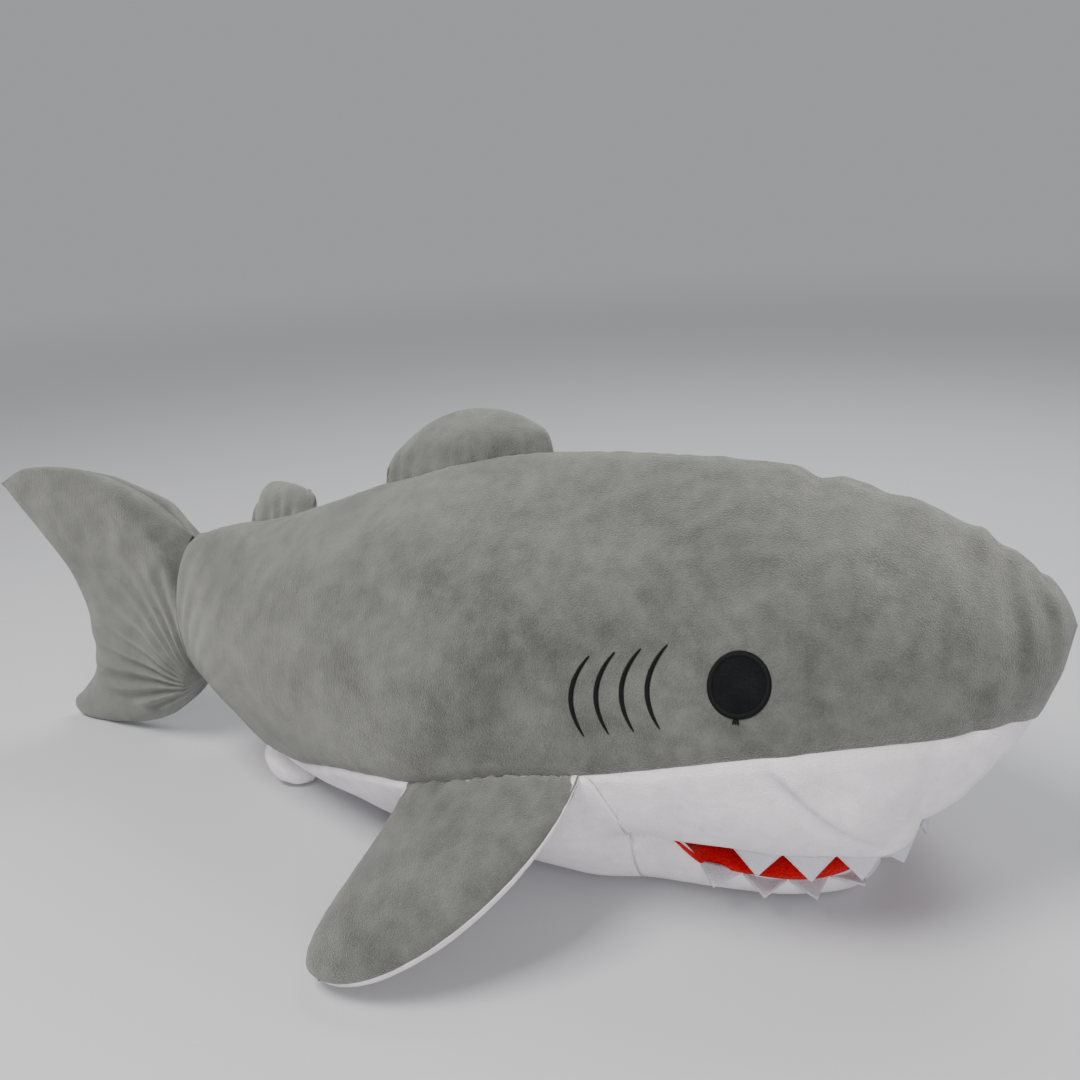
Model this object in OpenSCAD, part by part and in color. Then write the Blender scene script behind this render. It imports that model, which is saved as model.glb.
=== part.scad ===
// Plush shark: a stuffed body of sewn panels, a hinged lower jaw, a tail, and flopping fins.
// The origin is on the flat patch that the belly rests on. +X runs to the nose, +Z up.

/* [Body] */
// Length of the stuffed body, from the tail seam to the nose tip
body_len = 637; // [540:1:765]
// Height of the body at its tallest
body_h = 271; // [225:1:326]
// Width of the body at its widest
body_w = 262; // [218:1:315]
// Thickness of the plush fabric, pile included
fabric_t = 2.5; // [1.5:0.1:4]
// Width of the flat patch that the belly rests on
rest_w = 104; // [86:1:126]

/* [Mouth] */
// Height of the upper lip above the resting surface
lip_z = 57; // [52:1:68]
// Length of the mouth roof, from its back fold to the front lip
mouth_len = 171; // [140:1:200]
// Width of the mouth roof between its lips
mouth_w = 184; // [150:1:200]
// Height of the lower jaw cushion
jaw_h = 42; // [34:1:46]
// Height of the lower lip seam
jaw_lip_z = 30; // [24:1:33]
// Length of a felt tooth
tooth_len = 20; // [14:1:24]
// Thickness of the felt
felt_t = 1.6; // [1:0.1:2.5]

/* [Tail] */
// Height of the tail fin, between its two tips
tail_h = 236; // [196:1:283]
// Reach of the tail fin behind the tail seam
tail_len = 199; // [170:1:239]
// Thickness of the tail at its root
tail_t = 68; // [56:1:74]

/* [Fins] */
// Length of the pectoral fins from the side seam to the tip line
pectoral_len = 124; // [103:1:132]
// Angle of the pectoral fins below the horizontal
pectoral_droop = 33; // [20:1:33]
// Height of the dorsal fin
dorsal_len = 69; // [57:1:84]
// Height of the second dorsal fin
second_dorsal_len = 42; // [35:1:50]
// Angle that the dorsal fins have flopped over from upright
dorsal_lean = 75; // [0:1:78]
// Length of the pelvic fins
pelvic_len = 26; // [22:1:30]
// Greatest thickness of a stuffed fin
fin_t = 30; // [20:1:36]
// Thickness of a fin at its sewn root
fin_root_t = 6; // [4:0.5:8]

/* [Face] */
// Diameter of the eye patch, stitched rim included
eye_d = 35; // [28:1:42]
// Width of the satin stitch round the eye and along the gills
stitch_w = 3.5; // [2.5:0.1:4.5]
// Height that the eye patch and the stitching stand above the plush
trim_t = 1.2; // [0.6:0.1:2]
// Height of a gill line
gill_h = 44; // [36:1:54]

/* [Hidden] */

// Sides of the shark, as signs of Y
right = -1;
left = 1;

// Room between pieces that move on each other
joint_gap = 1;
// Room between the trim and the plush that it is sewn to
trim_gap = 0.1;
// Half the room between neighbouring teeth
tooth_gap = 0.8;
// Room between a fin's root and the body that it hinges on
fin_gap = 4;

// Where the body starts and ends, with the origin under its balance point
nose_x = 0.49 * body_len;
tail_x = nose_x - body_len;
mouth_x = 0.614 * body_len + tail_x;
lip_x = mouth_x + mouth_len;

// Mesh rows and columns
rear_rows = 14;
head_rows = 10;
snout_rows = 5;
nose_rows = 4;
side_cols = 8;
under_cols = 5;
flat_cols = 3;
fin_rows = 8;
tail_rows = 14;
fin_cols = 8;
jaw_rows = 12;
jaw_cols = 12;

// ---- Curves -------------------------------------------------------------

// A smooth line through a table of [place, value] stations
function knot(table, u, i = 0) = i >= len(table) - 2 || u <= table[i + 1][0] ? i : knot(table, u, i + 1);
function slope(table, i) =
    let (a = max(i - 1, 0), b = min(i + 1, len(table) - 1))
    (table[b][1] - table[a][1]) / (table[b][0] - table[a][0]);
function curve(table, u) =
    let (i = knot(table, u), w = table[i + 1][0] - table[i][0], s = (u - table[i][0]) / w)
    table[i][1] * (1 + 2 * s) * pow(1 - s, 2) + table[i + 1][1] * s * s * (3 - 2 * s)
    + slope(table, i) * w * s * pow(1 - s, 2) - slope(table, i + 1) * w * s * s * (1 - s);

// The same measure one fabric thickness inside, and never below nothing
function inside(v, inset) = v <= 0 ? 0 : v * v / (v + inset);
function unit(v) = v / norm(v);

// ---- Body shape ---------------------------------------------------------

// Stations run from the tail seam (0) to the nose tip (1), as shares of the body's height or half width
crest_line = [[0, 0.686], [0.077, 0.731], [0.184, 0.804], [0.286, 0.886], [0.41, 0.967], [0.51, 0.996],
    [0.61, 1], [0.739, 0.996], [0.8, 0.968], [0.85, 0.932], [0.9, 0.887], [0.94, 0.838], [0.97, 0.788],
    [0.99, 0.735], [1, 0.675]];
widest_line = [[0, 0.469], [0.077, 0.435], [0.184, 0.4], [0.286, 0.387], [0.41, 0.387], [0.51, 0.4],
    [0.61, 0.417], [0.739, 0.48], [0.824, 0.51], [0.9, 0.525], [0.96, 0.555], [1, 0.675]];
bottom_line = [[0, 0.251], [0.077, 0.166], [0.184, 0.035], [0.25, 0.004], [0.3, 0], [0.45, 0], [0.62, 0]];
width_line = [[0, 0.26], [0.077, 0.473], [0.184, 0.7], [0.286, 0.855], [0.41, 0.962], [0.51, 0.992],
    [0.61, 1], [0.739, 0.962], [0.824, 0.855], [0.876, 0.718], [0.929, 0.534], [0.967, 0.336],
    [0.989, 0.183], [1, 0]];
// Half width of the flat patch, as a share of its widest
rest_line = [[0, 0], [0.077, 0.12], [0.184, 0.14], [0.286, 0.32], [0.41, 0.7], [0.51, 1], [0.62, 0.96]];
// Half width of the mouth roof, from its back fold (0) to the front lip (1)
roof_line = [[0, 1], [0.3, 1], [0.57, 0.975], [0.74, 0.88], [0.89, 0.755], [0.955, 0.57], [0.985, 0.36],
    [1, 0]];
// Rise of the snout's underside from the front lip (0) to the nose tip (1)
snout_line = [[0, 0], [0.17, 0.06], [0.44, 0.27], [0.64, 0.44], [0.8, 0.6], [0.91, 0.75], [1, 1]];
// Share of the way round the half section, from the crest, at which grey meets white
seam_line = [[0, 0.83], [0.077, 0.76], [0.184, 0.67], [0.286, 0.59], [0.41, 0.55], [0.51, 0.52],
    [0.61, 0.5], [0.75, 0.49], [0.85, 0.49], [0.9, 0.5]];

// The widest line is met half way round, and the edge of the flat patch or lip at this share
half_way = 0.5;
edge_way = 0.85;
// How far round a quarter turn the upper side goes: below 1 it leaves a ridge at the crest
ridge = 0.82;

function share(x) = (x - tail_x) / body_len;
function half_w(x) = body_w / 2 * curve(width_line, share(x));
function crest_z(x) = body_h * curve(crest_line, share(x));
function widest_z(x) = body_h * curve(widest_line, share(x));
function snout_share(x) = max(0, (x - lip_x) / (nose_x - lip_x));
function nose_z() = body_h * crest_line[len(crest_line) - 1][1];
function bottom_z(x, part) = part == "head"
    ? lip_z + (nose_z() - lip_z) * curve(snout_line, snout_share(x))
    : max(0, body_h * curve(bottom_line, share(x)));
function roof_share(x) = min(1, (x - mouth_x) / mouth_len);
function bottom_w(x, part) = part == "head"
    ? max(0, mouth_w / 2 * curve(roof_line, roof_share(x)))
    : rest_w / 2 * curve(rest_line, share(x));

// The white panel runs out to nothing where the two grey panels meet under the nose
white_end = lip_x + 0.8 * (nose_x - lip_x);
seam_turn = tail_x + 0.9 * body_len;
function seam(x) = x < seam_turn ? curve(seam_line, share(x))
    : half_way + (edge_way - half_way) * pow(min(1, (x - seam_turn) / (white_end - seam_turn)), 6);

// A point on the half section at x, t of the way from the crest to the bottom's centre
function body_point(x, t, part, side, inset) =
    let (
        w = inside(half_w(x), inset), zm = widest_z(x),
        up = inside(crest_z(x) - zm, inset), down = inside(zm - bottom_z(x, part), inset),
        flat = inside(min(bottom_w(x, part), half_w(x)), inset),
        px = part == "head" ? mouth_x + (x - mouth_x) * (1 - inset / (nose_x - mouth_x)) : x,
        rise = (1 - t / half_way) * 90,
        fall = min(1, (t - half_way) / (edge_way - half_way)) * 90,
        across = (1 - t) / (1 - edge_way))
    t <= half_way ? [px, side * w * cos(rise), zm + up * sin(ridge * rise) / sin(ridge * 90)]
    : t <= edge_way ? [px, side * (flat + (w - flat) * cos(fall)), zm - down * sin(fall)]
    : [px, side * flat * across, zm - down];

// Rows of the mesh: the rear body, the head over the mouth, the snout and the grey nose
rear_x = [for (i = [0:rear_rows]) tail_x + (mouth_x - tail_x) * i / rear_rows];
head_x = concat(
    [for (i = [0:head_rows]) mouth_x + mouth_len * sin(90 * i / head_rows)],
    [for (i = [1:snout_rows]) lip_x + (white_end - lip_x) * i / snout_rows]);
tip_x = [for (i = [1:nose_rows]) white_end + (nose_x - white_end) * sin(90 * i / nose_rows)];

function grey_ways(x) = [for (j = [0:side_cols]) seam(x) * j / side_cols];
function white_ways(x) = [for (j = [0:under_cols]) seam(x) + (edge_way - seam(x)) * j / under_cols];
function flat_ways(x) = [for (j = [0:flat_cols]) edge_way + (1 - edge_way) * j / flat_cols];
function rest_of(list) = [for (i = [1:len(list) - 1]) list[i]];
function ways(x, panel) =
    panel == "grey" ? grey_ways(x)
    : panel == "white" ? white_ways(x)
    : panel == "flat" ? flat_ways(x)
    : panel == "white_and_flat" ? concat(white_ways(x), rest_of(flat_ways(x)))
    : concat(grey_ways(x), rest_of(white_ways(x)), rest_of(flat_ways(x)));
function body_grid(xs, panel, part, side, inset) =
    [for (x = xs) [for (t = ways(x, panel)) body_point(x, t, part, side, inset)]];
// The same panel carried across the centre, from its right edge to its left edge
function backwards(list) = [for (i = [len(list) - 1:-1:0]) list[i]];
function across_grid(xs, panel, part, inset) =
    let (a = body_grid(xs, panel, part, right, inset), b = body_grid(xs, panel, part, left, inset))
    [for (i = [0:len(xs) - 1]) concat(a[i], rest_of(backwards(b[i])))];
// The whole length of a side, where the section steps up at the back of the mouth
function long_grid(panel, side, inset) = concat(
    body_grid(rear_x, panel, "rear", side, inset),
    body_grid(concat(head_x, tip_x), panel, "head", side, inset));

// ---- Solids between two grids of points ---------------------------------

function snapped(p) = [for (v = p) round(v * 10000) / 10000];
function flatten(grid) = [for (row = grid) for (p = row) snapped(p)];
// Each cell's diagonal runs the same way, or it turns over in the second half of a grid that is carried
// across the centre, or it points at the middle of a pad, so that no corner face lies flat
function is_turned(i, j, rows, cols, lay) =
    let (low = i < (rows - 1) / 2, near = j < (cols - 1) / 2)
    lay == "across" ? !near : lay == "pad" ? low != near : false;
function sheet(rows, cols, base, clockwise, lay) = [
    for (i = [0:rows - 2]) for (j = [0:cols - 2])
        let (
            p = base + i * cols + j, q = p + 1, r = p + cols, s = r + 1,
            pair = is_turned(i, j, rows, cols, lay) ? [[p, q, r], [q, s, r]] : [[p, q, s], [p, s, r]])
        for (face = pair) clockwise ? face : [face[0], face[2], face[1]]];
function border(rows, cols) = concat(
    [for (j = [0:cols - 2]) j],
    [for (i = [0:rows - 2]) i * cols + cols - 1],
    [for (j = [cols - 1:-1:1]) (rows - 1) * cols + j],
    [for (i = [rows - 1:-1:1]) i * cols]);
// The walls along the grids' edges. Each cell's diagonal runs from its lower index in one grid to its higher
// index in the other, so that two panels meet on the same triangles. On closed grids the last column is the
// first one again, and only the first and last rows have walls.
function wall(rows, cols, clockwise, closed) =
    let (ring = border(rows, cols), n = rows * cols, m = len(ring))
    [for (k = [0:m - 1])
        if (!closed || floor(ring[k] / cols) == floor(ring[(k + 1) % m] / cols))
        let (a = ring[k], b = ring[(k + 1) % m], c = a + n, d = b + n)
        for (face = a < b ? [[b, a, d], [a, c, d]] : [[b, a, c], [b, c, d]])
            clockwise ? face : [face[0], face[2], face[1]]];
// A face is left out where its corners run together, or where it lies flat on its twin in the other grid
function is_flat(face, points, n) =
    len([for (k = face) if (points[k] == points[k < n ? k + n : k - n]) k]) == 3;
function is_sound(face, points, n) =
    points[face[0]] != points[face[1]] && points[face[1]] != points[face[2]]
    && points[face[2]] != points[face[0]] && !is_flat(face, points, n);

module between(outer, inner, clockwise, lay = "plain", closed = false) {
    rows = len(outer);
    cols = len(outer[0]);
    points = concat(flatten(outer), flatten(inner));
    faces = concat(
        sheet(rows, cols, 0, clockwise, lay),
        sheet(rows, cols, rows * cols, !clockwise, lay),
        wall(rows, cols, clockwise, closed));
    polyhedron(points, [for (face = faces) if (is_sound(face, points, rows * cols)) face], convexity = 8);
}

// A panel of plush on one side of the body
module body_panel(xs, panel, part, side)
    between(body_grid(xs, panel, part, side, 0), body_grid(xs, panel, part, side, fabric_t), side == left);

// ---- Padded fins --------------------------------------------------------

// A fin is [frame, front edge, back edge, thickness stations, half thickness, closed at its start, size].
// Its frame is [origin, along the root, out from the root, across], and its edges are curves of
// [along, out] points.
function bezier(c, b) = pow(1 - b, 3) * c[0] + 3 * b * pow(1 - b, 2) * c[1] + 3 * b * b * (1 - b) * c[2]
    + b * b * b * c[3];
function edge_point(e, b) = len(e) == 4 ? bezier(e, b)
    : [curve([for (k = e) [k[0], k[1]]], b), curve([for (k = e) [k[0], k[2]]], b)];
function fin_point(fin, b0, a, side, inset) =
    let (
        frame = fin[0], pull = inset / fin[6],
        b = fin[5] ? pull + b0 * (1 - 2 * pull) : b0 * (1 - pull),
        front = edge_point(fin[1], b0), back = edge_point(fin[2], b0),
        middle = (front + back) / 2, half = norm(back - front) / 2,
        across = half > 0 ? (back - front) / (2 * half) : [1, 0],
        shift = edge_point(fin[1], b) / 2 + edge_point(fin[2], b) / 2 - middle,
        p = middle + shift - across * inside(half, inset) * cos(180 * a),
        h = inside(max(0, fin[4] * curve(fin[3], b0)), inset) * sin(180 * a))
    frame[0] + frame[1] * p[0] + frame[2] * p[1] + frame[3] * side * h;
function fin_grid(fin, side, inset) =
    let (rows = fin[5] ? tail_rows : fin_rows)
    [for (i = [0:rows]) [for (j = [0:fin_cols]) fin_point(fin, i / rows, j / fin_cols, side, inset)]];
function faces_out(fin, side) = cross(fin[0][1], fin[0][2]) * fin[0][3] * side > 0;

module fin_face(fin, side)
    between(fin_grid(fin, side, 0), fin_grid(fin, side, fabric_t), faces_out(fin, side), "pad");
module fin_core(fin)
    between(fin_grid(fin, 1, fabric_t), fin_grid(fin, -1, fabric_t), faces_out(fin, 1), "pad");

// A frame from two root ends, with the fin pointing out along a rough direction and its upper side up
function frame_of(back_end, front_end, rough, up) =
    let (
        along = unit(front_end - back_end), out = unit(rough - along * (rough * along)),
        n = cross(along, out))
    [(back_end + front_end) / 2, along, out, n * up > 0 ? n : -n];

// Thickness stations from the root to the tip
pad_stations = [[0, fin_root_t / fin_t], [0.2, 0.72], [0.45, 1], [0.75, 0.82], [0.92, 0.5], [1, 0]];

// Pectoral fins hang from the side seam
pectoral_back_x = tail_x + 0.398 * body_len;
pectoral_front_x = tail_x + 0.59 * body_len;
function side_root(x, side) = body_point(x, seam(x), "rear", side, 0) + [0, side * fin_gap, 0];
function pectoral(side) =
    let (
        back_end = side_root(pectoral_back_x, side), front_end = side_root(pectoral_front_x, side),
        half = norm(front_end - back_end) / 2, reach = pectoral_len)
    [frame_of(back_end, front_end, [0, side * cos(pectoral_droop), -sin(pectoral_droop)], [0, 0, 1]),
        [[half, 0], [half, 0.42 * reach], [-0.3 * half, 1.12 * reach], [-1.22 * half, reach]],
        [[-half, 0], [-0.95 * half, 0.35 * reach], [-1.9 * half, 0.92 * reach], [-1.22 * half, reach]],
        pad_stations, fin_t / 2, false, reach];

// Dorsal fins stand on the crest and have flopped to the left
function crest_root(x) = [x, 0, crest_z(x) + fin_gap];
// How far the crest rises above the straight line between a fin's two root ends
function crest_bulge(back_x, front_x) =
    max([for (k = [0:8]) let (x = back_x + (front_x - back_x) * k / 8)
        crest_z(x) - crest_z(back_x) - (crest_z(front_x) - crest_z(back_x)) * k / 8]);
function crest_fin(back_x, front_x, reach, thick, tip, round_tip) =
    let (
        lift = [0, 0, crest_bulge(back_x, front_x)],
        back_end = crest_root(back_x) + lift, front_end = crest_root(front_x) + lift,
        half = norm(front_end - back_end) / 2)
    [frame_of(back_end, front_end, [0, sin(dorsal_lean), cos(dorsal_lean)], [0, -1, 0]),
        [[half, 0], [0.75 * half, 0.5 * reach], [(tip + round_tip) * half, reach], [tip * half, reach]],
        [[-half, 0], [-1.02 * half, 0.6 * reach], [(tip - round_tip) * half, reach], [tip * half, reach]],
        pad_stations, thick / 2, false, reach];
dorsal = crest_fin(tail_x + 0.286 * body_len, tail_x + 0.498 * body_len, dorsal_len, fin_t, -0.32, 0.62);
second_dorsal = crest_fin(tail_x + 0.092 * body_len, tail_x + 0.188 * body_len, second_dorsal_len,
    0.7 * fin_t, -1, 0.6);

// Pelvic fins lie under the rising belly
pelvic_y = 0.085 * body_w;
function pelvic_root(x, side) = [x, side * pelvic_y, bottom_z(x, "rear") - fin_gap - fin_root_t / 2];
function pelvic(side) =
    let (
        back_end = pelvic_root(tail_x + 0.115 * body_len, side),
        front_end = pelvic_root(tail_x + 0.178 * body_len, side),
        half = norm(front_end - back_end) / 2, reach = pelvic_len)
    [frame_of(back_end, front_end, [0, side, -0.1], [0, 0, 1]),
        [[half, 0], [1.15 * half, 0.5 * reach], [0.8 * half, reach], [0, reach]],
        [[-half, 0], [-1.3 * half, 0.5 * reach], [-0.9 * half, reach], [0, reach]],
        pad_stations, 0.22 * fin_t, false, reach];

// The tail fin is upright and swings behind the tail seam. Its edges run from the lower tip (0) to the
// upper tip (1), as shares of the tail's reach and height.
tail_front = [[0, 0.85, 0.01], [0.12, 0.58, 0.005], [0.25, 0.3, 0.045], [0.38, 0.085, 0.22],
    [0.5, 0.012, 0.47], [0.62, 0.024, 0.72], [0.75, 0.17, 0.91], [0.88, 0.53, 1], [1, 1, 0.92]];
tail_back = [[0, 0.85, 0.01], [0.12, 0.77, 0.085], [0.25, 0.65, 0.18], [0.38, 0.61, 0.28], [0.5, 0.635, 0.4],
    [0.62, 0.67, 0.54], [0.75, 0.72, 0.65], [0.88, 0.83, 0.755], [1, 1, 0.92]];
tail_stations = [[0, 0], [0.12, 0.38], [0.25, 0.62], [0.38, 0.86], [0.5, 1], [0.62, 0.93], [0.75, 0.7],
    [0.88, 0.44], [1, 0]];
function tail_edge(line) = [for (k = line) [k[0], -k[1] * (tail_len - joint_gap), k[2] * tail_h]];
tail = [[[tail_x - joint_gap, 0, 0], [1, 0, 0], [0, 0, 1], [0, -1, 0]],
    tail_edge(tail_front), tail_edge(tail_back), tail_stations, tail_t / 2, true, tail_h];

// ---- Lower jaw ----------------------------------------------------------

// The jaw folds about a line one lip height in front of its rounded back edge
jaw_back_x = mouth_x + joint_gap;
jaw_front_x = lip_x - 25;
hinge_x = jaw_back_x + jaw_lip_z;
jaw_round = 28;
jaw_w = mouth_w - 16;
jaw_line = [[0, 0.93], [0.2, 1], [0.45, 0.96], [0.7, 0.82], [0.88, 0.6], [1, 0.3]];
function jaw_rise(x) =
    x < jaw_back_x + jaw_lip_z ? sqrt(max(0, 1 - pow(1 - (x - jaw_back_x) / jaw_lip_z, 2)))
    : x > jaw_front_x - jaw_round ? sqrt(max(0, 1 - pow(1 - (jaw_front_x - x) / jaw_round, 2)))
    : 1;
function jaw_half(x) = jaw_w / 2 * curve(jaw_line, (x - jaw_back_x) / (jaw_front_x - jaw_back_x));
function jaw_point(u, v, side, inset) =
    let (
        len = jaw_front_x - jaw_back_x, x0 = jaw_back_x + len * (1 - cos(180 * u)) / 2,
        x = jaw_back_x + len / 2 + (x0 - jaw_back_x - len / 2) * (1 - 2 * inset / len),
        a = sin(90 * (2 * v - 1)), full = side > 0 ? jaw_h - jaw_lip_z : jaw_lip_z)
    [x, a * (jaw_half(x0) - inset),
        jaw_lip_z + side * inside(full, inset) * jaw_rise(x0) * sqrt(max(0, 1 - pow(abs(a), 6)))];
function jaw_grid(side, inset) =
    [for (i = [0:jaw_rows]) [for (j = [0:jaw_cols]) jaw_point(i / jaw_rows, j / jaw_cols, side, inset)]];

// ---- Teeth --------------------------------------------------------------

// A felt triangle from two base points to its tip, as thick as the felt along a direction
module felt_tooth(start, end, tip, along) {
    a = start + (end - start) * tooth_gap / norm(end - start);
    b = end + (start - end) * tooth_gap / norm(end - start);
    back = along * felt_t;
    points = [a, b, tip, a + back, b + back, tip + back];
    facing = cross(b - a, tip - a) * along > 0;
    faces = [[0, 1, 2], [3, 5, 4], [0, 3, 4, 1], [1, 4, 5, 2], [2, 5, 3, 0]];
    polyhedron(points, [for (f = faces) facing ? f : [for (k = [len(f) - 1:-1:0]) f[k]]]);
}

// Where the teeth part along the upper lip and the lower lip, as shares of the mouth's length
upper_tooth_stops = [0.39, 0.566, 0.741, 0.888, 0.985, 1];
lower_tooth_stops = [0.3, 0.48, 0.66, 0.84, 1, 1.01];
function upper_lip_point(s, side) =
    [mouth_x + s * mouth_len, side * mouth_w / 2 * curve(roof_line, s), lip_z];
function lower_lip_point(s, side) =
    let (x = jaw_back_x + min(s, 1) * (jaw_front_x - jaw_back_x))
    [x, s > 1 ? 0 : side * jaw_half(x), jaw_lip_z];
// How far the rounded lower lip stands out from the straight line between two stops
function lower_lip_bulge(s0, s1, side, out) =
    max([for (k = [0:6])
        (lower_lip_point(min(1, s0 + (s1 - s0) * k / 6), side) - lower_lip_point(s0, side)) * out]);

// ---- Trim on the sides of the head --------------------------------------

// Y of the plush at a place on the side, and the direction it faces
function side_y(x, z) =
    let (rise = asin((z - widest_z(x)) / (crest_z(x) - widest_z(x)) * sin(ridge * 90)) / ridge)
    half_w(x) * cos(rise);
function side_point(x, z, side, lift) =
    let (
        y = side_y(x, z), dx = side_y(x + 1, z) - side_y(x - 1, z), dz = side_y(x, z + 1) - side_y(x, z - 1),
        n = unit([-dx / 2, 1, -dz / 2]), p = [x, y, z] + n * lift)
    [p[0], side * p[1], p[2]];

eye_x = tail_x + 0.7315 * body_len;
eye_z = 0.648 * body_h;
function eye_disc(r0, r1, rings, side, lift) = [for (i = [0:rings]) [for (j = [0:24])
    let (r = r0 + (r1 - r0) * i / rings, turn = 15 * (j % 24))
    side_point(eye_x + r * cos(turn), eye_z + r * sin(turn), side, lift)]];
gill_count = 4;
gill_pitch = 0.0235 * body_len;
gill_x = tail_x + 0.588 * body_len;
gill_z = 0.588 * body_h;
gill_step_z = 0.0135 * body_h;
gill_bow = 9;
gill_steps = 8;
function gill(k, side, lift) = [for (i = [0:gill_steps]) [for (j = [-1, 0, 1])
    let (
        s = 2 * i / gill_steps - 1,
        x = gill_x + k * gill_pitch + gill_bow * (s * s - 0.5), z = gill_z + k * gill_step_z + s * gill_h / 2,
        lean = atan(4 * gill_bow * s / gill_h), reach = j * stitch_w / 2 * sqrt(1.02 - s * s))
    side_point(x + reach * cos(lean), z - reach * sin(lean), side, lift)]];

// ---- Pieces -------------------------------------------------------------

grey = [0.44, 0.45, 0.43];
white = [0.9, 0.88, 0.89];
red = [0.72, 0.05, 0.06];
felt = [0.88, 0.87, 0.92];
black = [0.06, 0.06, 0.065];
fibre = [0.95, 0.95, 0.93];

module back_panel(side) color(grey)
    between(long_grid("grey", side, 0), long_grid("grey", side, fabric_t), side == left);
module back_panel_right() back_panel(right);
module back_panel_left() back_panel(left);

module belly_panel() color(white)
    between(across_grid(rear_x, "white_and_flat", "rear", 0),
        across_grid(rear_x, "white_and_flat", "rear", fabric_t), false, "across");

module upper_jaw_panel() color(white)
    for (side = [right, left]) body_panel(head_x, "white", "head", side);

// The roof of the mouth, with the fold that closes its back
roof_x = [for (i = [0:head_rows]) head_x[i]];
module palate_lining() color(red) {
    for (side = [right, left]) body_panel(roof_x, "flat", "head", side);
    translate([mouth_x, -mouth_w * 0.45, jaw_h + joint_gap + 1])
        cube([fabric_t, mouth_w * 0.9, lip_z - jaw_h - joint_gap - 1]);
}

module body_filling() color(fibre)
    between(long_grid("all", right, fabric_t), long_grid("all", left, fabric_t), false);

module upper_teeth() color(felt)
    for (side = [right, left]) for (k = [0:len(upper_tooth_stops) - 2]) {
        a = upper_lip_point(upper_tooth_stops[k], side);
        b = upper_lip_point(upper_tooth_stops[k + 1], side);
        inward = unit([a[1] - b[1], b[0] - a[0], 0]) * (a[1] + b[1] > 0 ? -1 : 1);
        felt_tooth(a, b, (a + b) / 2 - [0, 0, tooth_len], inward);
    }

module eye(side) color(black)
    between(eye_disc(0, eye_d / 2 - stitch_w, 2, side, trim_gap + trim_t * 0.6),
        eye_disc(0, eye_d / 2 - stitch_w, 2, side, trim_gap), side == right, closed = true);
module eye_rim(side) color(black)
    between(eye_disc(eye_d / 2 - stitch_w, eye_d / 2, 2, side, trim_gap + trim_t),
        eye_disc(eye_d / 2 - stitch_w, eye_d / 2, 2, side, trim_gap), side == right, closed = true);
module right_eye() eye(right);
module left_eye() eye(left);
module right_eye_rim() eye_rim(right);
module left_eye_rim() eye_rim(left);

module gills(side) color(black)
    for (k = [0:gill_count - 1])
        between(gill(k, side, trim_gap + trim_t), gill(k, side, trim_gap), side == left);
module right_gill_stitches() gills(right);
module left_gill_stitches() gills(left);

module lower_jaw_panel() color(white) between(jaw_grid(-1, 0), jaw_grid(-1, fabric_t), false, "pad");
module lower_mouth_lining() color(red) between(jaw_grid(1, 0), jaw_grid(1, fabric_t), true, "pad");
module lower_jaw_filling() color(fibre)
    between(jaw_grid(1, fabric_t), jaw_grid(-1, fabric_t), true, "pad");

module lower_teeth() color(felt)
    for (side = [right, left]) for (k = [0:len(lower_tooth_stops) - 2]) {
        a = lower_lip_point(lower_tooth_stops[k], side);
        b = lower_lip_point(lower_tooth_stops[k + 1], side);
        out = unit([b[1] - a[1], a[0] - b[0], 0]) * (a[1] + b[1] > 0 ? -1 : 1);
        push = out * (trim_gap + lower_lip_bulge(lower_tooth_stops[k], lower_tooth_stops[k + 1], side, out));
        felt_tooth(a + push, b + push,
            (a + b) / 2 + push + tooth_len * (0.75 * out - [0, 0, 0.15]), [0, 0, -1]);
    }

module tail_fin_right_face() color(grey) fin_face(tail, 1);
module tail_fin_left_face() color(grey) fin_face(tail, -1);
module tail_fin_filling() color(fibre) fin_core(tail);

module dorsal_fin_right_face() color(grey) fin_face(dorsal, 1);
module dorsal_fin_left_face() color(grey) fin_face(dorsal, -1);
module dorsal_fin_filling() color(fibre) fin_core(dorsal);
module second_dorsal_right_face() color(grey) fin_face(second_dorsal, 1);
module second_dorsal_left_face() color(grey) fin_face(second_dorsal, -1);
module second_dorsal_filling() color(fibre) fin_core(second_dorsal);

module right_pectoral_upper() color(grey) fin_face(pectoral(right), 1);
module right_pectoral_under() color(white) fin_face(pectoral(right), -1);
module right_pectoral_filling() color(fibre) fin_core(pectoral(right));
module left_pectoral_upper() color(grey) fin_face(pectoral(left), 1);
module left_pectoral_under() color(white) fin_face(pectoral(left), -1);
module left_pectoral_filling() color(fibre) fin_core(pectoral(left));

module right_pelvic_upper() color(white) fin_face(pelvic(right), 1);
module right_pelvic_under() color(white) fin_face(pelvic(right), -1);
module right_pelvic_filling() color(fibre) fin_core(pelvic(right));
module left_pelvic_upper() color(white) fin_face(pelvic(left), 1);
module left_pelvic_under() color(white) fin_face(pelvic(left), -1);
module left_pelvic_filling() color(fibre) fin_core(pelvic(left));

back_panel_right();
back_panel_left();
belly_panel();
upper_jaw_panel();
palate_lining();
body_filling();
upper_teeth();
right_eye();
left_eye();
right_eye_rim();
left_eye_rim();
right_gill_stitches();
left_gill_stitches();
lower_jaw_panel();
lower_mouth_lining();
lower_jaw_filling();
lower_teeth();
tail_fin_right_face();
tail_fin_left_face();
tail_fin_filling();
dorsal_fin_right_face();
dorsal_fin_left_face();
dorsal_fin_filling();
second_dorsal_right_face();
second_dorsal_left_face();
second_dorsal_filling();
right_pectoral_upper();
right_pectoral_under();
right_pectoral_filling();
left_pectoral_upper();
left_pectoral_under();
left_pectoral_filling();
right_pelvic_upper();
right_pelvic_under();
right_pelvic_filling();
left_pelvic_upper();
left_pelvic_under();
left_pelvic_filling();
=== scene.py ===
import bpy, bmesh, math, random
from mathutils import Matrix, Vector, noise


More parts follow.
